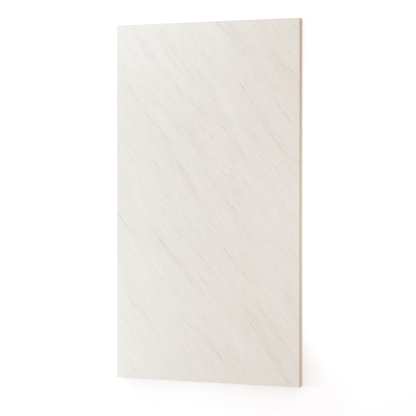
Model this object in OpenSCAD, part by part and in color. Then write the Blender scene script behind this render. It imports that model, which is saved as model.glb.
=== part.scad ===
// Marble-effect wall panel: a decorative laminate sheet glued to a wood-fibre core board.
// The panel lies on its back with the decorative face up.
// X runs across the panel, Y runs up it when it is fixed to a wall, Z points out of its face.
// The origin is the middle of the back.

/* [Panel] */
// Width across the wall
panel_w = 600; // [300:10:1200]
// Height up the wall
panel_h = 1100; // [400:10:2400]

/* [Core board] */
// Thickness of the core board
core_t = 25; // [12:0.5:40]
// How far the eased back arris reaches in from the edge
back_ease_run = 1; // [0.4:0.1:3]
// How far the eased back arris reaches up the edge
back_ease_rise = 1; // [0.4:0.1:3]

/* [Face laminate] */
// Thickness of the laminate sheet
laminate_t = 1; // [0.8:0.1:2]
// How far the trimmed front arris reaches in from the edge
front_trim_run = 0.6; // [0.2:0.1:1.5]
// How far the trimmed front arris reaches down the edge
front_trim_drop = 0.4; // [0.2:0.1:0.6]

/* [Hidden] */
core_colour = "#cdb795";
laminate_colour = "#e8e4df";

// Section of a slab from edge to edge, with its two upper arrises cut at a slant.
// The slant reaches run in from each edge and drop below the upper face.
module eased_section(span, thickness, run, drop) {
    edge = span / 2;
    polygon([
        [-edge, 0],
        [edge, 0],
        [edge, thickness - drop],
        [edge - run, thickness],
        [run - edge, thickness],
        [-edge, thickness - drop],
    ]);
}

// Slab with its lower face at z = 0 and the upper arris eased on all four sides.
// Where the section across meets the section along, the slants mitre at the corners.
module eased_slab(width, height, thickness, run, drop) {
    intersection() {
        rotate([90, 0, 0])
            linear_extrude(height, center = true)
                eased_section(width, thickness, run, drop);
        rotate([90, 0, 90])
            linear_extrude(width, center = true)
                eased_section(height, thickness, run, drop);
    }
}

// The board that gives the panel its stiffness, with the arris of its back eased.
module core_board() {
    color(core_colour)
        translate([0, 0, core_t])
            mirror([0, 0, 1])
                eased_slab(panel_w, panel_h, core_t, back_ease_run, back_ease_rise);
}

// The sheet that carries the marble pattern, flush with the core and trimmed at its front arris.
module face_laminate() {
    color(laminate_colour)
        translate([0, 0, core_t])
            eased_slab(panel_w, panel_h, laminate_t, front_trim_run, front_trim_drop);
}

core_board();
face_laminate();
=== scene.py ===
"""Marble-effect wall panel: its two boards, their finishes, and the white studio that it lies in.

The panel lies on its back. X runs across it, Y runs up it when it is fixed to a wall, and Z points out
of its face. The camera looks down on the face with Y upwards, as the panel would be seen on a wall.
"""

import logging
import math
from dataclasses import dataclass, field
from enum import Enum
from typing import List, Sequence, Tuple, Union

import bpy
from mathutils import Matrix, Vector


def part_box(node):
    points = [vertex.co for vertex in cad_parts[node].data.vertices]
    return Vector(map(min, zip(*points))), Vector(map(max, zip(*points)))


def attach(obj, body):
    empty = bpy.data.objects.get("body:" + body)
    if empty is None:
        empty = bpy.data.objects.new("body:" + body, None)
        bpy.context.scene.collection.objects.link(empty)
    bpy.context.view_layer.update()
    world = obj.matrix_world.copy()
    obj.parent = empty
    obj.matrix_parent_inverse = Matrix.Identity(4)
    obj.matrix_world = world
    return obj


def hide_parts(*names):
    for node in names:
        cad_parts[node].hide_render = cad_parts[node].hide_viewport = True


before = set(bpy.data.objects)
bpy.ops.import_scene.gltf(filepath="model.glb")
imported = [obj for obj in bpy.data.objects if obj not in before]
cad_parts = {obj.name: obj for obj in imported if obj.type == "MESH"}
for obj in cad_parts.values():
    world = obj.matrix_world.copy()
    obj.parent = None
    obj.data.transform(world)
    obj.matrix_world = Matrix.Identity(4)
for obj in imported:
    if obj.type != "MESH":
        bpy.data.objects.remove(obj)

Rgb = Tuple[float, float, float]
Socket = bpy.types.NodeSocket
Value = Union[float, Sequence[float], Socket]
Box = Tuple[Vector, Vector]
Spot = Tuple[float, float]

MM = 0.001
FULL_SCALE = 255
BAKE_MAP = "OFBake"
log = logging.getLogger("panel")


class Slot(Enum):
    """The record's material slots."""

    CORE = "wood_fibre_core"
    FACE = "marble_laminate"


def tone(rgb: Rgb) -> Tuple[float, float, float, float]:
    """Turns a colour as a screen shows it into the linear one that a shader takes.

    Args:
        rgb: red, green and blue from 0 to 255.

    Returns:
        Linear red, green and blue with a full alpha.
    """
    shares = [channel / FULL_SCALE for channel in rgb]
    linear = [s / 12.92 if s <= 0.04045 else ((s + 0.055) / 1.055) ** 2.4 for s in shares]
    return (linear[0], linear[1], linear[2], 1.0)


class Graph:
    """Adds nodes to one tree and joins them, so that a finish reads as a list of steps."""

    def __init__(self, tree: bpy.types.NodeTree) -> None:
        """Keeps the tree that the nodes go into."""
        self.tree = tree

    def node(self, kind: str, **settings: object) -> bpy.types.Node:
        """Adds a node.

        Args:
            kind: the node's type.
            **settings: its properties, by name.

        Returns:
            The new node.
        """
        made = self.tree.nodes.new(kind)
        for name, value in settings.items():
            setattr(made, name, value)
        return made

    def put(self, socket: Socket, value: Value) -> None:
        """Links a socket to another, or sets its plain value."""
        if isinstance(value, bpy.types.NodeSocket):
            self.tree.links.new(value, socket)
        else:
            socket.default_value = value

    def math(self, operation: str, *values: Value, clamp: bool = False) -> Socket:
        """Adds a Math node.

        Args:
            operation: what it works out.
            *values: its inputs in order.
            clamp: whether the result is held between 0 and 1.

        Returns:
            The result's socket.
        """
        made = self.node("ShaderNodeMath", operation=operation, use_clamp=clamp)
        for socket, value in zip(made.inputs, values):
            self.put(socket, value)
        return made.outputs[0]

    def vector(self, operation: str, *values: Value, scale: Value = 1.0) -> bpy.types.Node:
        """Adds a Vector Math node and returns it, as some operations give a vector and some a number."""
        made = self.node("ShaderNodeVectorMath", operation=operation)
        for socket, value in zip(made.inputs, values):
            self.put(socket, value)
        if operation == "SCALE":
            self.put(made.inputs["Scale"], scale)
        return made

    def combine(self, x: Value, y: Value, z: Value) -> Socket:
        """Joins three numbers into a vector."""
        made = self.node("ShaderNodeCombineXYZ")
        for socket, value in zip(made.inputs, (x, y, z)):
            self.put(socket, value)
        return made.outputs[0]

    def separate(self, vector: Value) -> Tuple[Socket, Socket, Socket]:
        """Splits a vector into its three numbers."""
        made = self.node("ShaderNodeSeparateXYZ")
        self.put(made.inputs[0], vector)
        return made.outputs[0], made.outputs[1], made.outputs[2]

    def noise(self, spot: Value, scale: float, detail: float, roughness: float = 0.5) -> bpy.types.Node:
        """Adds a Noise Texture at the given spot and returns the node."""
        made = self.node("ShaderNodeTexNoise")
        self.put(made.inputs["Vector"], spot)
        made.inputs["Scale"].default_value = scale
        made.inputs["Detail"].default_value = detail
        made.inputs["Roughness"].default_value = roughness
        return made

    def ramp(self, value: Value, low: float, high: float, start: float = 0.0, end: float = 1.0) -> Socket:
        """Eases a number from start to end as it goes from low to high.

        Args:
            value: the number.
            low: where the ease begins.
            high: where it ends.
            start: the result up to low.
            end: the result from high on.

        Returns:
            The eased number's socket.
        """
        made = self.node("ShaderNodeMapRange", interpolation_type="SMOOTHSTEP")
        for socket, part in zip(made.inputs, (value, low, high, start, end)):
            self.put(socket, part)
        return made.outputs[0]

    def mix(self, share: Value, first: Value, second: Value, blend: str = "MIX") -> Socket:
        """Mixes two colours.

        Args:
            share: how much of the second colour there is.
            first: the colour at a share of 0.
            second: the colour at a share of 1.
            blend: how the second is laid on the first.

        Returns:
            The mixed colour's socket.
        """
        made = self.node("ShaderNodeMix", data_type="RGBA", blend_type=blend)
        self.put(made.inputs[0], share)
        self.put(made.inputs[6], first)
        self.put(made.inputs[7], second)
        return made.outputs[2]


@dataclass(frozen=True)
class Vein:
    """A chain of tapered strokes in the marble, through places on its face.

    The places are in millimetres, to the right of and below the face's upper left corner.
    """

    depth: float
    half_width: float
    places: Tuple[Spot, ...]

    def strokes(self) -> List[Tuple[Spot, Spot]]:
        """Gives the start and end of each stroke."""
        return list(zip(self.places, self.places[1:]))


def line(depth: float, *places: Spot) -> Vein:
    """Gives a thin dark line."""
    return Vein(depth, 1.7, places)


def band(depth: float, half_width: float, *places: Spot) -> Vein:
    """Gives a soft broad band."""
    return Vein(depth, half_width, places)


LINES = (
    line(1.1, (333, 3), (347, 16), (362, 30)),
    line(0.8, (362, 30), (381, 42), (397, 54)),
    line(0.45, (364, 6), (381, 25)),
    line(0.8, (466, 5), (474, 19)),
    line(0.45, (474, 19), (490, 39)),
    line(0.45, (487, 24), (503, 41)),
    line(0.45, (521, 30), (536, 49)),
    line(0.9, (581, 17), (595, 37)),
    line(0.4, (120, 5), (127, 14)),
    line(0.4, (142, 37), (153, 52)),
    line(0.45, (210, 7), (223, 21)),
    line(0.45, (216, 30), (231, 52)),
    line(0.5, (258, 102), (272, 119)),
    line(0.3, (244, 8), (259, 25)),
    line(0.6, (280, 33), (289, 45)),
    line(0.7, (261, 65), (267, 72)),
    line(0.7, (282, 87), (299, 107)),
    line(0.6, (220, 121), (226, 129)),
    line(0.5, (229, 139), (251, 161), (266, 185)),
    line(0.55, (123, 173), (133, 188)),
    line(0.45, (134, 140), (145, 156), (155, 173)),
    line(0.45, (169, 140), (188, 161), (195, 178), (208, 204), (225, 229)),
    line(0.5, (9, 98), (24, 114)),
    line(1.0, (40, 187), (57, 207)),
    line(0.4, (57, 207), (66, 229), (79, 252)),
    line(1.0, (240, 227), (250, 240), (266, 258), (280, 268)),
    line(0.45, (425, 37), (441, 60)),
    line(0.35, (441, 60), (462, 90), (487, 125)),
    line(0.65, (420, 86), (431, 99), (441, 110)),
    line(0.9, (562, 92), (572, 107)),
    line(0.9, (572, 150), (580, 162)),
    line(0.7, (456, 153), (466, 175)),
    line(0.5, (466, 175), (480, 197)),
    line(0.4, (490, 214), (503, 234)),
    line(0.55, (498, 238), (514, 257)),
    line(1.0, (406, 186), (417, 197), (429, 210)),
    line(0.5, (436, 222), (445, 238)),
    line(0.9, (444, 239), (456, 253)),
    line(0.6, (456, 253), (475, 270)),
    line(0.4, (308, 179), (328, 203), (349, 214)),
    line(0.35, (317, 232), (345, 258)),
    line(0.9, (58, 307), (64, 318)),
    line(0.65, (64, 318), (73, 334)),
    line(0.5, (75, 339), (96, 357), (114, 378)),
    line(0.7, (108, 288), (118, 301), (126, 316)),
    line(0.4, (19, 364), (34, 386), (61, 429)),
    line(0.6, (59, 453), (75, 468)),
    line(1.0, (120, 421), (145, 448)),
    line(0.9, (205, 439), (222, 456)),
    line(0.9, (212, 436), (225, 448)),
    line(0.6, (224, 448), (243, 473)),
    line(0.6, (241, 485), (249, 499)),
    line(0.45, (219, 482), (247, 517), (274, 550)),
    line(0.7, (216, 304), (228, 320)),
    line(0.45, (228, 320), (247, 345)),
    line(0.35, (241, 304), (266, 332), (277, 358)),
    line(0.6, (277, 358), (298, 378)),
    line(0.5, (286, 320), (298, 339)),
    line(0.65, (261, 449), (276, 467)),
    line(0.65, (166, 530), (173, 536)),
    line(0.55, (210, 519), (228, 545)),
    line(0.6, (281, 269), (296, 279), (311, 289)),
    line(0.75, (311, 289), (330, 305), (348, 319), (366, 331)),
    line(0.75, (308, 340), (322, 358)),
    line(0.55, (391, 355), (407, 376), (417, 398)),
    line(0.7, (417, 398), (431, 423)),
    line(0.5, (412, 318), (425, 335)),
    line(0.6, (453, 345), (466, 362), (477, 376)),
    line(0.4, (441, 367), (466, 399), (487, 425)),
    line(0.55, (505, 329), (514, 353), (530, 371), (545, 394), (554, 411)),
    line(0.65, (566, 409), (600, 440)),
    line(0.5, (550, 281), (566, 300)),
    line(0.35, (565, 301), (580, 321)),
    line(0.65, (516, 428), (527, 454), (543, 483)),
    line(0.5, (543, 483), (572, 515)),
    line(0.45, (306, 405), (325, 433), (353, 456)),
    line(0.7, (353, 456), (366, 469)),
    line(0.45, (366, 469), (397, 510), (425, 549)),
    line(0.75, (352, 428), (362, 444)),
    line(0.9, (376, 463), (392, 478)),
    line(0.6, (414, 505), (428, 527)),
    line(0.45, (478, 447), (503, 472)),
    line(0.55, (384, 418), (397, 437)),
    line(0.8, (2, 585), (14, 600)),
    line(0.6, (14, 600), (28, 620)),
    line(0.85, (28, 620), (41, 636)),
    line(0.6, (106, 628), (119, 642), (128, 655)),
    line(0.45, (94, 636), (125, 674)),
    line(0.45, (136, 665), (155, 677), (179, 702)),
    line(1.0, (178, 704), (194, 720)),
    line(0.85, (193, 721), (215, 745)),
    line(1.0, (231, 766), (247, 787)),
    line(0.8, (246, 788), (261, 806)),
    line(0.5, (155, 568), (166, 582)),
    line(0.4, (180, 604), (199, 631)),
    line(0.75, (199, 631), (219, 655)),
    line(0.65, (221, 580), (232, 599)),
    line(0.5, (259, 633), (269, 645)),
    line(0.55, (244, 680), (259, 700)),
    line(0.35, (261, 697), (277, 710), (302, 736)),
    line(0.35, (80, 703), (97, 725)),
    line(0.45, (126, 753), (148, 778)),
    line(0.8, (147, 779), (159, 795)),
    line(0.6, (156, 747), (162, 754)),
    line(1.15, (360, 541), (381, 561), (394, 572)),
    line(0.5, (394, 572), (400, 585), (406, 599)),
    line(0.5, (412, 622), (425, 637)),
    line(0.55, (342, 580), (358, 598)),
    line(0.65, (300, 623), (316, 641)),
    line(1.05, (355, 685), (369, 704), (388, 725)),
    line(0.5, (384, 738), (403, 757)),
    line(0.75, (411, 646), (418, 659)),
    line(0.4, (480, 571), (500, 598)),
    line(0.4, (459, 700), (475, 722)),
    line(0.7, (522, 733), (527, 738)),
    line(0.7, (522, 666), (533, 679)),
    line(0.55, (566, 687), (597, 719)),
    line(0.35, (440, 738), (459, 760), (482, 797)),
    line(0.75, (418, 758), (427, 774)),
    line(0.65, (427, 773), (438, 789)),
    line(1.0, (555, 782), (569, 800)),
    line(0.6, (305, 743), (318, 759), (334, 779)),
    line(0.4, (332, 781), (360, 810)),
    line(0.6, (34, 844), (47, 858), (62, 881)),
    line(0.4, (105, 875), (127, 890)),
    line(0.6, (116, 842), (125, 855)),
    line(0.45, (179, 836), (198, 864)),
    line(0.6, (198, 864), (214, 894)),
    line(0.6, (215, 899), (233, 920)),
    line(1.0, (235, 918), (251, 934), (266, 951)),
    line(0.5, (265, 952), (297, 988)),
    line(0.65, (103, 946), (116, 968)),
    line(0.4, (47, 952), (62, 981), (81, 1003)),
    line(0.45, (193, 950), (218, 988), (243, 1030)),
    line(0.45, (230, 970), (251, 1012)),
    line(0.6, (251, 1012), (277, 1043)),
    line(0.55, (266, 992), (278, 1010)),
    line(0.6, (288, 902), (301, 926), (318, 951)),
    line(0.4, (90, 1005), (101, 1025)),
    line(0.6, (160, 1040), (173, 1052)),
    line(0.5, (41, 1041), (73, 1089)),
    line(0.65, (386, 828), (405, 845)),
    line(0.6, (387, 844), (403, 865)),
    line(0.6, (416, 886), (430, 906)),
    line(0.8, (441, 911), (453, 927), (472, 946)),
    line(0.5, (472, 946), (497, 971)),
    line(0.5, (461, 840), (471, 856), (487, 885), (500, 905)),
    line(0.75, (499, 915), (515, 937)),
    line(0.5, (546, 958), (580, 1002)),
    line(0.4, (321, 832), (352, 857)),
    line(0.95, (314, 989), (331, 1006), (350, 1026)),
    line(0.85, (362, 987), (381, 1005)),
    line(0.6, (398, 1025), (410, 1040), (425, 1064)),
    line(0.4, (420, 995), (437, 1016)),
    line(0.45, (496, 991), (515, 1030), (537, 1064)),
    line(0.85, (553, 1070), (581, 1097)),
    line(0.4, (523, 863), (555, 898)),
)

BANDS = (
    band(0.5, 16, (60, 20), (300, 336)),
    band(0.8, 34, (190, 275), (320, 430)),
    band(0.6, 12, (80, 300), (235, 480)),
    band(0.8, 13, (205, 420), (400, 740)),
    band(0.7, 16, (95, 600), (300, 850)),
    band(0.7, 14, (215, 880), (380, 1050)),
    band(0.7, 15, (200, 600), (330, 790)),
    band(0.8, 18, (380, 800), (560, 1080)),
    band(0.8, 26, (405, 740), (470, 810)),
    band(0.7, 14, (390, 170), (600, 450)),
    band(0.9, 26, (340, 0), (480, 110)),
    band(0.5, 12, (330, 500), (480, 700)),
    band(0.5, 20, (20, 800), (130, 960)),
    band(0.5, 30, (480, 10), (590, 260)),
    band(0.7, 20, (560, 810), (600, 940)),
    band(0.6, 12, (470, 860), (570, 1000)),
    band(0.6, 12, (135, 300), (185, 390)),
    band(0.6, 16, (20, 170), (110, 290)),
)

PALES = (
    band(1.0, 26, (30, 30), (130, 135)),
    band(0.8, 22, (115, 50), (205, 165)),
    band(0.8, 14, (180, 30), (265, 120)),
    band(0.9, 18, (290, 10), (405, 115)),
    band(0.8, 14, (130, 130), (200, 215)),
    band(1.0, 24, (320, 175), (405, 315)),
    band(1.0, 18, (330, 375), (500, 545)),
    band(0.8, 12, (215, 430), (290, 505)),
    band(0.9, 18, (420, 540), (485, 655)),
    band(0.7, 16, (490, 520), (565, 650)),
    band(0.8, 24, (40, 460), (125, 640)),
    band(0.7, 14, (225, 555), (305, 665)),
    band(0.6, 18, (30, 690), (110, 810)),
    band(0.9, 20, (165, 835), (285, 975)),
    band(1.0, 26, (345, 875), (455, 1035)),
    band(0.8, 14, (490, 800), (565, 905)),
)


@dataclass(frozen=True)
class MarbleDecor:
    """Printed marble sheet under a satin overlay, with brown kraft paper below the print."""

    print_depth: float = 0.0001
    fall: float = math.radians(54.2)
    ground: Rgb = (236, 233, 228)
    cool: Rgb = (222, 231, 231)
    blush: Rgb = (222, 213, 204)
    pale: Rgb = (241, 242, 242)
    vein: Rgb = (160, 144, 116)
    kraft: Rgb = (104, 64, 46)
    kraft_pale: Rgb = (134, 90, 66)
    bend: float = 0.04
    ripple: float = 0.0022
    overlap: float = 1.45
    roughness: float = 0.38

    def frame_at(self, graph: Graph, point: Value) -> Tuple[Socket, Socket]:
        """Turns the face's coordinates to run along and across the streaks, which fall to the right.

        Args:
            graph: the material's nodes.
            point: the place on the face, in metres.

        Returns:
            The distance along the streaks and the distance across them.
        """
        turned = graph.node("ShaderNodeMapping", vector_type="POINT")
        graph.put(turned.inputs["Vector"], point)
        turned.inputs["Rotation"].default_value = (0.0, 0.0, self.fall)
        along, across, _ = graph.separate(turned.outputs[0])
        return along, across

    def streaked(
        self, graph: Graph, run: Tuple[Socket, Socket], size: Tuple[float, float], seed: float, detail: float
    ) -> Socket:
        """Adds noise drawn out along the streaks.

        Args:
            graph: the material's nodes.
            run: the distances along and across the streaks.
            size: the length and width of a typical streak, in metres.
            seed: the slice of the noise that is used.
            detail: how many finer layers it has.

        Returns:
            The noise, from 0 to 1.
        """
        along = graph.math("DIVIDE", run[0], size[0])
        across = graph.math("DIVIDE", run[1], size[1])
        return graph.noise(graph.combine(along, across, seed), 1.0, detail, 0.55).outputs[0]

    def warped(self, graph: Graph, point: Value, scale: float, reach: float, detail: float) -> Socket:
        """Shifts a place by soft noise, so that what is drawn there wanders.

        Args:
            graph: the material's nodes.
            point: the place, in metres.
            scale: the noise's scale for each metre.
            reach: the widest shift, in metres.
            detail: how many finer layers the noise has.

        Returns:
            The shifted place.
        """
        soft = graph.noise(point, scale, detail).outputs[1]
        centred = graph.vector("SUBTRACT", soft, (0.5, 0.5, 0.5)).outputs[0]
        shift = graph.vector("SCALE", centred, scale=reach).outputs[0]
        return graph.vector("ADD", point, shift).outputs[0]

    def drawn(
        self, graph: Graph, point: Value, corner: Vector, veins: Sequence[Vein], rim: float
    ) -> Socket:
        """Draws placed lines or bands, each stroke as a long thin lens.

        Args:
            graph: the material's nodes.
            point: the place on the face, in metres.
            corner: the face's upper left corner.
            veins: what is drawn.
            rim: the share of a stroke's half width over which it fades out.

        Returns:
            How dark they are at the place.
        """
        total: Value = 0.0
        for vein in veins:
            for (from_x, from_y), (to_x, to_y) in vein.strokes():
                lens = graph.node("ShaderNodeMapping", vector_type="TEXTURE")
                graph.put(lens.inputs["Vector"], point)
                middle = ((from_x + to_x) / 2 * MM, (from_y + to_y) / 2 * MM)
                lens.inputs["Location"].default_value = (corner.x + middle[0], corner.y - middle[1], 0.0)
                lens.inputs["Rotation"].default_value = (0.0, 0.0, -math.atan2(to_y - from_y, to_x - from_x))
                half_length = math.hypot(to_x - from_x, to_y - from_y) / 2 * self.overlap
                lens.inputs["Scale"].default_value = (half_length * MM, vein.half_width * MM, 1.0)
                inside = graph.node("ShaderNodeTexGradient", gradient_type="SPHERICAL")
                graph.put(inside.inputs["Vector"], lens.outputs[0])
                even = graph.math("MINIMUM", inside.outputs[1], rim)
                mark = graph.math("MULTIPLY", even, vein.depth / rim)
                total = graph.math("MAXIMUM", total, mark)
        return total

    def print_colour(self, graph: Graph, place: Socket, corner: Vector) -> Socket:
        """Works out the marble print's colour.

        Args:
            graph: the material's nodes.
            place: the object coordinates.
            corner: the face's upper left corner.

        Returns:
            The colour's socket.
        """
        x, y, _ = graph.separate(place)
        flat = graph.combine(x, y, 0.0)
        bent = self.warped(graph, flat, 3.0, self.bend, 0.0)
        run = self.frame_at(graph, self.warped(graph, bent, 26.0, self.ripple, 1.0))

        tint = graph.ramp(self.streaked(graph, run, (0.09, 0.035), 1.3, 4.0), 0.38, 0.62)
        broad = graph.ramp(self.streaked(graph, run, (0.15, 0.05), 7.9, 3.0), 0.36, 0.66)
        cluster = graph.ramp(self.streaked(graph, run, (0.17, 0.030), 4.2, 1.0), 0.42, 0.62, 0.45, 1.0)
        fibres = graph.ramp(self.streaked(graph, run, (0.060, 0.010), 2.6, 4.0), 0.42, 0.72)
        long_hairs = graph.ramp(self.streaked(graph, run, (0.12, 0.0017), 9.4, 1.0), 0.54, 0.66)
        short_hairs = graph.ramp(self.streaked(graph, run, (0.045, 0.0015), 12.1, 1.0), 0.56, 0.70)
        fine = graph.math("SUBTRACT", self.streaked(graph, run, (0.007, 0.0024), 5.7, 2.0), 0.39)

        wander = self.warped(graph, flat, 40.0, 0.003, 1.0)
        lines = self.drawn(graph, wander, corner, LINES, 0.5)
        soft = self.drawn(graph, self.warped(graph, flat, 9.0, 0.03, 2.0), corner, BANDS, 0.8)
        veil = graph.ramp(self.streaked(graph, run, (0.070, 0.022), 3.3, 3.0), 0.36, 0.64, 0.3, 1.0)
        pales = self.drawn(graph, self.warped(graph, flat, 11.0, 0.05, 2.0), corner, PALES, 0.7)
        pales = graph.math("MULTIPLY", pales, veil)
        feathered = graph.math("MULTIPLY", soft, graph.math("MULTIPLY_ADD", fibres, 0.5, 0.5))
        calm = graph.math("MULTIPLY_ADD", pales, -0.95, 1.0)
        crowd = graph.math("MULTIPLY", graph.math("MULTIPLY_ADD", soft, 0.5, cluster), calm)
        hairs = graph.math("MULTIPLY", graph.math("MAXIMUM", long_hairs, short_hairs), crowd)
        dark = graph.math("MULTIPLY_ADD", hairs, 0.125, graph.math("MULTIPLY", lines, 0.245))
        dark = graph.math("MULTIPLY_ADD", broad, 0.020, dark)
        dark = graph.math("MULTIPLY_ADD", feathered, 0.014, dark)
        dark = graph.math("MULTIPLY_ADD", fine, 0.24, dark)
        brown = graph.math("MULTIPLY_ADD", fibres, 0.08, graph.math("MULTIPLY", feathered, 0.26))
        colour = graph.mix(graph.math("MULTIPLY", tint, 0.11), tone(self.ground), tone(self.cool))
        colour = graph.mix(graph.math("MULTIPLY", pales, 0.24), colour, tone(self.pale))
        colour = graph.mix(brown, colour, tone(self.blush))
        return graph.mix(graph.math("MAXIMUM", dark, 0.0), colour, tone(self.vein))

    def kraft_colour(self, graph: Graph, place: Socket) -> Socket:
        """Works out the colour of the laminate's brown paper edge.

        Args:
            graph: the material's nodes.
            place: the object coordinates.

        Returns:
            The colour's socket.
        """
        x, y, z = graph.separate(place)
        along = graph.math("ADD", x, y)
        plies = graph.combine(graph.math("MULTIPLY", along, 12.0), 0.0, graph.math("MULTIPLY", z, 5200.0))
        share = graph.ramp(graph.noise(plies, 1.0, 2.0).outputs[0], 0.35, 0.65)
        return graph.mix(share, tone(self.kraft), tone(self.kraft_pale))

    def material(self, box: Box) -> bpy.types.Material:
        """Makes the laminate's material.

        Args:
            box: the lowest and highest corner of the laminate.

        Returns:
            The material.
        """
        made = bpy.data.materials.new("marble_print_laminate")
        made.use_nodes = True
        made.node_tree.nodes.clear()
        graph = Graph(made.node_tree)
        place = graph.node("ShaderNodeTexCoord").outputs["Object"]
        corner = Vector((box[0].x, box[1].y, box[1].z))
        height = graph.separate(place)[2]
        in_print = graph.math("GREATER_THAN", height, box[1].z - self.print_depth)
        colour = graph.mix(in_print, self.kraft_colour(graph, place), self.print_colour(graph, place, corner))
        shader = graph.node("ShaderNodeBsdfPrincipled")
        graph.put(shader.inputs["Base Color"], colour)
        mottle = graph.noise(place, 240.0, 2.0).outputs[0]
        satin = graph.ramp(mottle, 0.3, 0.7, self.roughness - 0.04, self.roughness + 0.05)
        graph.put(shader.inputs["Roughness"], graph.mix(in_print, (0.8, 0.8, 0.8, 1.0), satin))
        shader.inputs["IOR"].default_value = 1.45
        relief = graph.node("ShaderNodeBump")
        relief.inputs["Strength"].default_value = 0.35
        relief.inputs["Distance"].default_value = 0.00003
        graph.put(relief.inputs["Height"], graph.noise(place, 520.0, 3.0).outputs[0])
        graph.put(shader.inputs["Normal"], relief.outputs[0])
        graph.put(graph.node("ShaderNodeOutputMaterial").inputs["Surface"], shader.outputs[0])
        return made


@dataclass(frozen=True)
class FibreBoard:
    """Bare medium-density fibre board: pale fibres in the middle, a denser and browner skin under the face."""

    middle: Rgb = (228, 215, 196)
    middle_dark: Rgb = (208, 188, 164)
    skin: Rgb = (186, 152, 128)
    speck: Rgb = (150, 116, 84)
    back: Rgb = (206, 186, 160)
    skin_depth: float = 0.010
    roughness: float = 0.82

    def edge_colour(self, graph: Graph, place: Socket, top: float) -> Socket:
        """Works out the colour of a sawn edge.

        Args:
            graph: the material's nodes.
            place: the object coordinates.
            top: the height of the face that the laminate is glued to.

        Returns:
            The colour's socket.
        """
        x, y, z = graph.separate(place)
        along = graph.math("ADD", x, y)
        fibres = graph.combine(graph.math("MULTIPLY", along, 260.0), 0.0, graph.math("MULTIPLY", z, 1400.0))
        share = graph.ramp(graph.noise(fibres, 1.0, 4.0, 0.6).outputs[0], 0.38, 0.66)
        colour = graph.mix(share, tone(self.middle), tone(self.middle_dark))
        dark = graph.combine(graph.math("MULTIPLY", along, 420.0), 3.0, graph.math("MULTIPLY", z, 1900.0))
        specks = graph.ramp(graph.noise(dark, 1.0, 2.0, 0.5).outputs[0], 0.66, 0.74, 0.0, 0.45)
        colour = graph.mix(specks, colour, tone(self.speck))
        depth = graph.math("SUBTRACT", top, z)
        skin = graph.ramp(depth, 0.0, self.skin_depth, 1.0, 0.0)
        return graph.mix(skin, colour, tone(self.skin))

    def back_colour(self, graph: Graph, place: Socket) -> Socket:
        """Works out the colour of the sanded back.

        Args:
            graph: the material's nodes.
            place: the object coordinates.

        Returns:
            The colour's socket.
        """
        x, y, _ = graph.separate(place)
        clumps = graph.ramp(graph.noise(place, 90.0, 5.0, 0.6).outputs[0], 0.35, 0.68, 0.0, 0.5)
        colour = graph.mix(clumps, tone(self.back), tone(self.middle_dark))
        sanding = graph.combine(graph.math("MULTIPLY", x, 700.0), graph.math("MULTIPLY", y, 6.0), 0.0)
        lines = graph.ramp(graph.noise(sanding, 1.0, 2.0).outputs[0], 0.45, 0.75, 0.0, 0.25)
        colour = graph.mix(lines, colour, tone(self.middle))
        specks = graph.ramp(graph.noise(place, 700.0, 1.0).outputs[0], 0.68, 0.78, 0.0, 0.5)
        return graph.mix(specks, colour, tone(self.speck))

    def material(self, box: Box) -> bpy.types.Material:
        """Makes the core board's material.

        Args:
            box: the lowest and highest corner of the board.

        Returns:
            The material.
        """
        made = bpy.data.materials.new("bare_fibre_board")
        made.use_nodes = True
        made.node_tree.nodes.clear()
        graph = Graph(made.node_tree)
        coordinates = graph.node("ShaderNodeTexCoord")
        place = coordinates.outputs["Object"]
        facing = graph.separate(coordinates.outputs["Normal"])[2]
        on_flat = graph.math("GREATER_THAN", graph.math("ABSOLUTE", facing), 0.7)
        edge = self.edge_colour(graph, place, box[1].z)
        colour = graph.mix(on_flat, edge, self.back_colour(graph, place))
        shader = graph.node("ShaderNodeBsdfPrincipled")
        graph.put(shader.inputs["Base Color"], colour)
        dust = graph.noise(place, 320.0, 3.0).outputs[0]
        rough = graph.ramp(dust, 0.3, 0.7, self.roughness - 0.08, self.roughness + 0.08)
        graph.put(shader.inputs["Roughness"], rough)
        shader.inputs["IOR"].default_value = 1.45
        relief = graph.node("ShaderNodeBump")
        relief.inputs["Strength"].default_value = 0.6
        relief.inputs["Distance"].default_value = 0.00012
        graph.put(relief.inputs["Height"], graph.noise(place, 640.0, 4.0, 0.65).outputs[0])
        graph.put(shader.inputs["Normal"], relief.outputs[0])
        graph.put(graph.node("ShaderNodeOutputMaterial").inputs["Surface"], shader.outputs[0])
        return made


@dataclass(frozen=True)
class Ease:
    """How far an eased arris reaches in from the edge, and how far up or down the edge."""

    run: float
    rise: float


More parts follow.
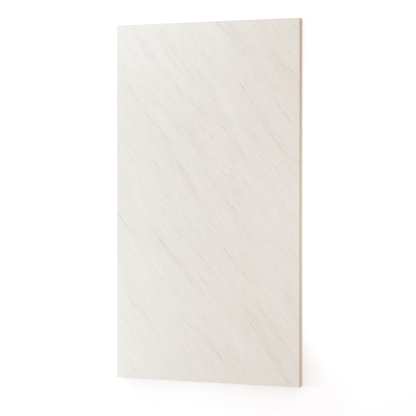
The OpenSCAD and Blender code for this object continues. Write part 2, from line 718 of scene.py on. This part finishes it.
class SlabTree:
    """Geometry Nodes tree that shapes a lattice of cells into a slab with rounded, mitred arrises."""

    INPUTS = (
        ("Width", "NodeSocketFloat"),
        ("Height", "NodeSocketFloat"),
        ("Low", "NodeSocketFloat"),
        ("High", "NodeSocketFloat"),
        ("Upper Run", "NodeSocketFloat"),
        ("Upper Rise", "NodeSocketFloat"),
        ("Lower Run", "NodeSocketFloat"),
        ("Lower Rise", "NodeSocketFloat"),
        ("Cells Across", "NodeSocketInt"),
        ("Cells Up", "NodeSocketInt"),
        ("Cells Deep", "NodeSocketInt"),
        ("Arris Cells", "NodeSocketInt"),
        ("Material", "NodeSocketMaterial"),
    )

    def __init__(self) -> None:
        """Builds the tree."""
        self.tree = bpy.data.node_groups.new("slab_with_eased_arrises", "GeometryNodeTree")
        self.tree.is_modifier = True
        self.tree.interface.new_socket("Geometry", in_out="INPUT", socket_type="NodeSocketGeometry")
        for name, kind in self.INPUTS:
            self.tree.interface.new_socket(name, in_out="INPUT", socket_type=kind)
        self.tree.interface.new_socket("Geometry", in_out="OUTPUT", socket_type="NodeSocketGeometry")
        self.graph = Graph(self.tree)
        self.given = self.graph.node("NodeGroupInput").outputs
        self.build()

    def flat_share(self, cells: Socket) -> Socket:
        """Gives the share of an axis that lies between its two arrises, from the number of cells along it."""
        graph = self.graph
        both = graph.math("MULTIPLY", self.given["Arris Cells"], 2.0)
        return graph.math("SUBTRACT", 1.0, graph.math("DIVIDE", both, cells))

    def arris_share(self, place: Socket, flat: Socket) -> Socket:
        """Gives how far into the arris cells a lattice place lies, from 0 to 1."""
        graph = self.graph
        past = graph.math("SUBTRACT", graph.math("ABSOLUTE", place), flat)
        return graph.math("DIVIDE", past, graph.math("SUBTRACT", 1.0, flat), clamp=True)

    def by_side(self, upper: str, lower: str, above: Socket) -> Socket:
        """Picks the upper arris's size above the middle, and the lower one's below it."""
        graph = self.graph
        gap = graph.math("SUBTRACT", self.given[upper], self.given[lower])
        return graph.math("MULTIPLY_ADD", gap, above, self.given[lower])

    def turn(self, share: Socket, deep: Socket) -> Socket:
        """Gives the arris's angle: 0 on the flat face, 45 degrees half way round, 90 on the edge."""
        graph = self.graph
        halves = graph.math("ADD", share, graph.math("SUBTRACT", 1.0, deep))
        return graph.math("MULTIPLY", halves, math.pi / 4)

    def sideways(self, place: Socket, flat: Socket, share: Socket, deep: Socket, run: Socket, size: str) -> Socket:
        """Works out a point's place across or up the slab.

        Args:
            place: its lattice place on this axis, from -1 to 1.
            flat: the share of the axis between the arrises.
            share: how far into the arris cells it lies.
            deep: the same for the axis through the thickness.
            run: how far the arris reaches in.
            size: the name of the slab's size on this axis.

        Returns:
            The place in metres.
        """
        graph = self.graph
        half = graph.math("MULTIPLY", self.given[size], 0.5)
        inner = graph.math("SUBTRACT", half, run)
        level = graph.math("DIVIDE", graph.math("ABSOLUTE", place), flat, clamp=True)
        bow = graph.math("MULTIPLY", run, graph.math("SINE", self.turn(share, deep)))
        bow = graph.math("MULTIPLY", bow, graph.math("GREATER_THAN", share, 1e-5))
        out = graph.math("MULTIPLY_ADD", inner, level, bow)
        return graph.math("MULTIPLY", out, graph.math("SIGN", place))

    def depthwise(self, place: Socket, flat: Socket, share: Socket, deep: Socket, above: Socket) -> Socket:
        """Works out a point's height.

        Args:
            place: its lattice place through the thickness, from -1 to 1.
            flat: the share of the axis between the arrises.
            share: how far into the arris cells it lies across or up, whichever is further.
            deep: how far into them it lies through the thickness.
            above: 1 above the middle and 0 below.

        Returns:
            The height in metres.
        """
        graph = self.graph
        given = self.given
        round_share = graph.math("SUBTRACT", 1.0, graph.math("COSINE", self.turn(share, deep)))
        upper = graph.math("SUBTRACT", given["High"], graph.math("MULTIPLY", given["Upper Rise"], round_share))
        lower = graph.math("MULTIPLY_ADD", given["Lower Rise"], round_share, given["Low"])
        eased = graph.math("MULTIPLY_ADD", graph.math("SUBTRACT", upper, lower), above, lower)
        wall_top = graph.math("SUBTRACT", given["High"], given["Upper Rise"])
        wall_foot = graph.math("ADD", given["Low"], given["Lower Rise"])
        level = graph.math("MULTIPLY_ADD", graph.math("DIVIDE", place, flat), 0.5, 0.5)
        wall = graph.math("MULTIPLY_ADD", graph.math("SUBTRACT", wall_top, wall_foot), level, wall_foot)
        on_wall = graph.math("LESS_THAN", deep, 1e-5)
        return graph.math("MULTIPLY_ADD", graph.math("SUBTRACT", wall, eased), on_wall, eased)

    def build(self) -> None:
        """Adds the lattice, the rule that shapes it, and the tree's end."""
        graph = self.graph
        given = self.given
        lattice = graph.node("GeometryNodeMeshCube")
        lattice.inputs["Size"].default_value = (2.0, 2.0, 2.0)
        counts = ("Cells Across", "Cells Up", "Cells Deep")
        for axis, name in zip("XYZ", counts):
            graph.put(lattice.inputs["Vertices " + axis], graph.math("ADD", given[name], 1.0))
        across, up, through = graph.separate(graph.node("GeometryNodeInputPosition").outputs[0])
        flats = [self.flat_share(given[name]) for name in counts]
        share_x = self.arris_share(across, flats[0])
        share_y = self.arris_share(up, flats[1])
        deep = self.arris_share(through, flats[2])
        above = graph.math("GREATER_THAN", through, 0.0)
        run = self.by_side("Upper Run", "Lower Run", above)
        x = self.sideways(across, flats[0], share_x, deep, run, "Width")
        y = self.sideways(up, flats[1], share_y, deep, run, "Height")
        z = self.depthwise(through, flats[2], graph.math("MAXIMUM", share_x, share_y), deep, above)
        shaped = graph.node("GeometryNodeSetPosition")
        graph.put(shaped.inputs["Geometry"], lattice.outputs["Mesh"])
        graph.put(shaped.inputs["Position"], graph.combine(x, y, z))
        real = graph.node("GeometryNodeRealizeInstances")
        graph.put(real.inputs["Geometry"], shaped.outputs["Geometry"])
        dressed = graph.node("GeometryNodeSetMaterial")
        graph.put(dressed.inputs["Geometry"], real.outputs["Geometry"])
        graph.put(dressed.inputs["Material"], given["Material"])
        graph.put(graph.node("NodeGroupOutput").inputs["Geometry"], dressed.outputs["Geometry"])

    def run(self, name: str, values: dict) -> bpy.types.Object:
        """Runs the tree on an empty object and keeps its result as a plain mesh.

        Args:
            name: the new piece's name.
            values: the tree's inputs by name.

        Returns:
            The new piece.
        """
        blank = bpy.data.objects.new(name + "_blank", bpy.data.meshes.new(name + "_blank"))
        bpy.context.scene.collection.objects.link(blank)
        modifier = blank.modifiers.new("slab", "NODES")
        modifier.node_group = self.tree
        for item in self.tree.interface.items_tree:
            if item.item_type == "SOCKET" and item.in_out == "INPUT" and item.name in values:
                modifier[item.identifier] = values[item.name]
        blank.update_tag()
        graph = bpy.context.evaluated_depsgraph_get()
        mesh = bpy.data.meshes.new_from_object(blank.evaluated_get(graph), depsgraph=graph)
        mesh.name = name
        blank.modifiers.clear()
        bpy.data.objects.remove(blank)
        piece = bpy.data.objects.new(name, mesh)
        bpy.context.scene.collection.objects.link(piece)
        return piece


@dataclass(frozen=True)
class Island:
    """A rectangle of the bake's map, and the two axes of the slab that run along its sides."""

    left: float
    low: float
    right: float
    high: float
    axes: Tuple[int, int]

    def place(self, point: Vector, box: Box) -> Tuple[float, float]:
        """Gives where a point of the slab lies on the map."""
        shares = [(point[a] - box[0][a]) / (box[1][a] - box[0][a]) for a in self.axes]
        u = self.left + (self.right - self.left) * shares[0]
        v = self.low + (self.high - self.low) * shares[1]
        return u, v


def side_of(normal: Vector) -> str:
    """Names the side of the slab that a normal points out of, such as +X."""
    flat = abs(normal.z) > math.sqrt(0.5) - 1e-4
    axis = 2 if flat else max((0, 1), key=lambda a: abs(normal[a]))
    return ("+" if normal[axis] > 0 else "-") + "XYZ"[axis]


def lay_out(piece: bpy.types.Object, islands: dict, box: Box) -> None:
    """Gives a slab its own map for the bake, with one rectangle for each side.

    Args:
        piece: the slab.
        islands: the rectangle of each side, by its name.
        box: the slab's lowest and highest corner.
    """
    mesh = piece.data
    layer = mesh.uv_layers.new(name=BAKE_MAP)
    for face in mesh.polygons:
        island = islands[side_of(face.normal)]
        for corner in face.loop_indices:
            point = mesh.vertices[mesh.loops[corner].vertex_index].co
            layer.data[corner].uv = island.place(point, box)


@dataclass
class Board:
    """One flat piece of the panel, the size of its node."""

    node: str
    slot: Slot
    box: Box = field(init=False)
    upper: Ease = Ease(0.0001, 0.0001)
    lower: Ease = Ease(0.0001, 0.0001)
    cell: float = 0.025
    cells_deep: int = 4
    arris_cells: int = 3

    def __post_init__(self) -> None:
        """Reads the piece's place from the frame."""
        self.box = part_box(self.node)

    def islands(self) -> dict:
        """Gives the map's rectangle for each side."""
        raise NotImplementedError

    def material(self) -> bpy.types.Material:
        """Gives the piece's finish."""
        raise NotImplementedError

    def build(self, tree: SlabTree) -> bpy.types.Object:
        """Makes the piece, dresses it and puts it in its node's place.

        Args:
            tree: the tree that shapes slabs.

        Returns:
            The finished piece.
        """
        low, high = self.box
        size = high - low
        extra = 2 * self.arris_cells
        values = {
            "Width": size.x,
            "Height": size.y,
            "Low": low.z,
            "High": high.z,
            "Upper Run": self.upper.run,
            "Upper Rise": self.upper.rise,
            "Lower Run": self.lower.run,
            "Lower Rise": self.lower.rise,
            "Cells Across": round(size.x / self.cell) + extra,
            "Cells Up": round(size.y / self.cell) + extra,
            "Cells Deep": self.cells_deep + extra,
            "Arris Cells": self.arris_cells,
            "Material": self.material(),
        }
        piece = tree.run(self.node + "_dressed", values)
        lay_out(piece, self.islands(), self.box)
        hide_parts(self.node)
        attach(piece, "root")
        log.info("%s: %d faces", piece.name, len(piece.data.polygons))
        return piece


@dataclass
class CoreBoard(Board):
    """The fibre board that stiffens the panel. Its back arris is eased."""

    node: str = "core_board"
    slot: Slot = Slot.CORE
    lower: Ease = Ease(0.001, 0.001)
    finish: FibreBoard = FibreBoard()

    def islands(self) -> dict:
        """Gives the back most of the map, a strip to each edge, and a corner to the hidden front."""
        edge = 0.082
        gap = 0.006
        strips = {}
        low = gap
        for side, axis in (("-X", 1), ("+X", 1), ("-Y", 0), ("+Y", 0)):
            strips[side] = Island(0.004, low, 0.996, low + edge, (axis, 2))
            low += edge + gap
        strips["+Z"] = Island(0.004, low, 0.060, low + 0.03, (1, 0))
        low += 0.03 + gap
        strips["-Z"] = Island(0.004, low, 0.996, 0.996, (1, 0))
        return strips

    def material(self) -> bpy.types.Material:
        """Gives the bare board's finish."""
        return self.finish.material(self.box)


@dataclass
class FaceLaminate(Board):
    """The laminate sheet with the marble print. Its front arris is trimmed."""

    node: str = "face_laminate"
    slot: Slot = Slot.FACE
    upper: Ease = Ease(0.0006, 0.0004)
    cells_deep: int = 2
    finish: MarbleDecor = MarbleDecor()

    def islands(self) -> dict:
        """Gives the printed face nearly all of the map, and thin strips to the edges and the glued side."""
        edge = 0.008
        gap = 0.006
        strips = {}
        low = gap
        for side, axis in (("-X", 1), ("+X", 1), ("-Y", 0), ("+Y", 0)):
            strips[side] = Island(0.004, low, 0.996, low + edge, (axis, 2))
            low += edge + gap
        strips["-Z"] = Island(0.004, low, 0.040, low + 0.02, (1, 0))
        low += 0.02 + gap
        strips["+Z"] = Island(0.004, low, 0.996, 0.996, (0, 1))
        return strips

    def material(self) -> bpy.types.Material:
        """Gives the printed laminate's finish."""
        return self.finish.material(self.box)


@dataclass(frozen=True)
class SoftLight:
    """A rectangular studio light."""

    name: str
    place: Tuple[float, float, float]
    aim: Tuple[float, float, float]
    size: Tuple[float, float]
    power: float
    colour: Rgb

    def add(self) -> bpy.types.Object:
        """Puts the light in the scene and returns it."""
        lamp = bpy.data.lights.new(self.name, "AREA")
        lamp.shape = "RECTANGLE"
        lamp.size, lamp.size_y = self.size
        lamp.energy = self.power
        lamp.color = self.colour
        made = bpy.data.objects.new(self.name, lamp)
        bpy.context.scene.collection.objects.link(made)
        made.location = self.place
        toward = Vector(self.aim) - Vector(self.place)
        made.rotation_euler = toward.to_track_quat("-Z", "Y").to_euler()
        made.visible_camera = False
        return made


@dataclass
class Studio:
    """The white floor, the lights and the camera."""

    floor_size: float = 40.0
    floor_drop: float = 0.0001
    floor_colour: Rgb = (243, 243, 243)
    # The floor's glow for camera rays changes with place, and that change is painted light on the floor: the last
    # colour is laid beside the panel's right edge and far off.
    left_lift: Rgb = (0.14, 0.165, 0.19)
    foot_lift: Rgb = (0.20, 0.24, 0.27)
    painted_light_lift: Rgb = (0.31, 0.385, 0.43)
    sky_strength: float = 0.815
    sky_colour: Rgb = (1.0, 0.88, 0.827)
    camera_place: Tuple[float, float, float] = (1.61, 0.077, 4.0625)
    camera_aim: Tuple[float, float, float] = (0.0065, 0.0455, 0.026)
    lens_mm: float = 123.25
    lens_shift: float = -0.05
    sensor_mm: float = 36.0
    lights: List[SoftLight] = field(
        default_factory=lambda: [
            SoftLight("key", (-1.9, 1.1, 0.42), (0.0, 0.0, 0.026), (0.5, 0.25), 29.3, (0.577, 0.843, 1.0)),
            SoftLight("top", (-0.137, 0.737, 0.312), (0.0, 0.0, 0.026), (0.5, 0.3), 0.364, (0.638, 0.893, 1.0)),
            SoftLight("left", (-1.1, -0.62, 0.6), (0.0, 0.0, 0.026), (0.4, 0.4), 5.15, (0.59, 0.88, 0.98)),
            SoftLight("right", (0.8, -0.04, 0.2), (0.3, -0.04, 0.0), (0.4, 0.25), 1.0, (0.596, 0.916, 1.0)),
        ]
    )

    def seen_share(self, graph: Graph) -> Socket:
        """Gives 1 for rays that show the backdrop: those of the camera, of gloss and of glass."""
        rays = graph.node("ShaderNodeLightPath").outputs
        through = graph.math("MAXIMUM", rays["Is Glossy Ray"], rays["Is Transmission Ray"])
        return graph.math("MAXIMUM", rays["Is Camera Ray"], through)

    def add_floor(self) -> bpy.types.Object:
        """Lays the floor just under the panel."""
        half = self.floor_size / 2
        mesh = bpy.data.meshes.new("studio_floor")
        corners = [(-half, -half), (half, -half), (half, half), (-half, half)]
        mesh.from_pydata([(x, y, -self.floor_drop) for x, y in corners], [], [(0, 1, 2, 3)])
        floor = bpy.data.objects.new("studio_floor", mesh)
        bpy.context.scene.collection.objects.link(floor)
        paint = bpy.data.materials.new("studio_white")
        paint.use_nodes = True
        paint.node_tree.nodes.clear()
        graph = Graph(paint.node_tree)
        matt = graph.node("ShaderNodeBsdfDiffuse")
        matt.inputs["Color"].default_value = tone(self.floor_colour)
        glow = graph.node("ShaderNodeEmission")
        place = graph.node("ShaderNodeTexCoord").outputs["Object"]
        x, y, _ = graph.separate(place)
        # Painted light on the floor: the glow is raised beside the panel's right edge above its foot, which washes
        # out the panel's real shadow there, and far from the panel. It is lower at the left and at the foot, where
        # the real shadow shows.
        near = graph.mix(graph.ramp(x, -0.3, 0.0), (*self.left_lift, 1.0), (*self.foot_lift, 1.0))
        painted_light_beside = graph.math("MULTIPLY", graph.ramp(x, 0.0, 0.3), graph.ramp(y, -0.54, -0.33))
        away = graph.ramp(graph.vector("LENGTH", place).outputs["Value"], 0.95, 1.8)
        far = graph.math("MAXIMUM", painted_light_beside, away)
        graph.put(glow.inputs["Color"], graph.mix(far, near, (*self.painted_light_lift, 1.0)))
        graph.put(glow.inputs["Strength"], self.seen_share(graph))
        both = graph.node("ShaderNodeAddShader")
        graph.put(both.inputs[0], matt.outputs[0])
        graph.put(both.inputs[1], glow.outputs[0])
        graph.put(graph.node("ShaderNodeOutputMaterial").inputs["Surface"], both.outputs[0])
        mesh.materials.append(paint)
        return floor

    def add_sky(self) -> None:
        """Surrounds the scene with soft light that is white where it is seen."""
        world = bpy.data.worlds.new("studio_sky")
        world.use_nodes = True
        world.node_tree.nodes.clear()
        graph = Graph(world.node_tree)
        soft = graph.node("ShaderNodeBackground")
        soft.inputs["Color"].default_value = (*self.sky_colour, 1.0)
        soft.inputs["Strength"].default_value = self.sky_strength
        white = graph.node("ShaderNodeBackground")
        white.inputs["Color"].default_value = (1.0, 1.0, 1.0, 1.0)
        either = graph.node("ShaderNodeMixShader")
        graph.put(either.inputs[0], self.seen_share(graph))
        graph.put(either.inputs[1], soft.outputs[0])
        graph.put(either.inputs[2], white.outputs[0])
        graph.put(graph.node("ShaderNodeOutputWorld").inputs["Surface"], either.outputs[0])
        bpy.context.scene.world = world

    def add_camera(self) -> bpy.types.Object:
        """Places the camera above the panel's right side, with the panel's Y upwards in the picture."""
        lens = bpy.data.cameras.new("camera")
        lens.sensor_width = self.sensor_mm
        lens.lens = self.lens_mm
        lens.shift_y = self.lens_shift
        camera = bpy.data.objects.new("camera", lens)
        bpy.context.scene.collection.objects.link(camera)
        place = Vector(self.camera_place)
        back = (place - Vector(self.camera_aim)).normalized()
        right = Vector((0.0, 1.0, 0.0)).cross(back).normalized()
        up = back.cross(right)
        turned = Matrix((right, up, back)).transposed().to_4x4()
        camera.matrix_world = Matrix.Translation(place) @ turned
        bpy.context.scene.camera = camera
        return camera

    def build(self) -> None:
        """Sets up the whole studio."""
        self.add_floor()
        self.add_sky()
        for light in self.lights:
            light.add()
        self.add_camera()
        bpy.context.scene.view_settings.view_transform = "Standard"
        log.info("studio: %d lights", len(self.lights))


def main() -> None:
    """Builds the panel and its studio."""
    logging.basicConfig(level=logging.INFO, format="%(name)s %(message)s")
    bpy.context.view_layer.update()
    Studio().build()
    tree = SlabTree()
    for board in (CoreBoard(), FaceLaminate()):
        board.build(tree)


if __name__ == "__main__":
    main()
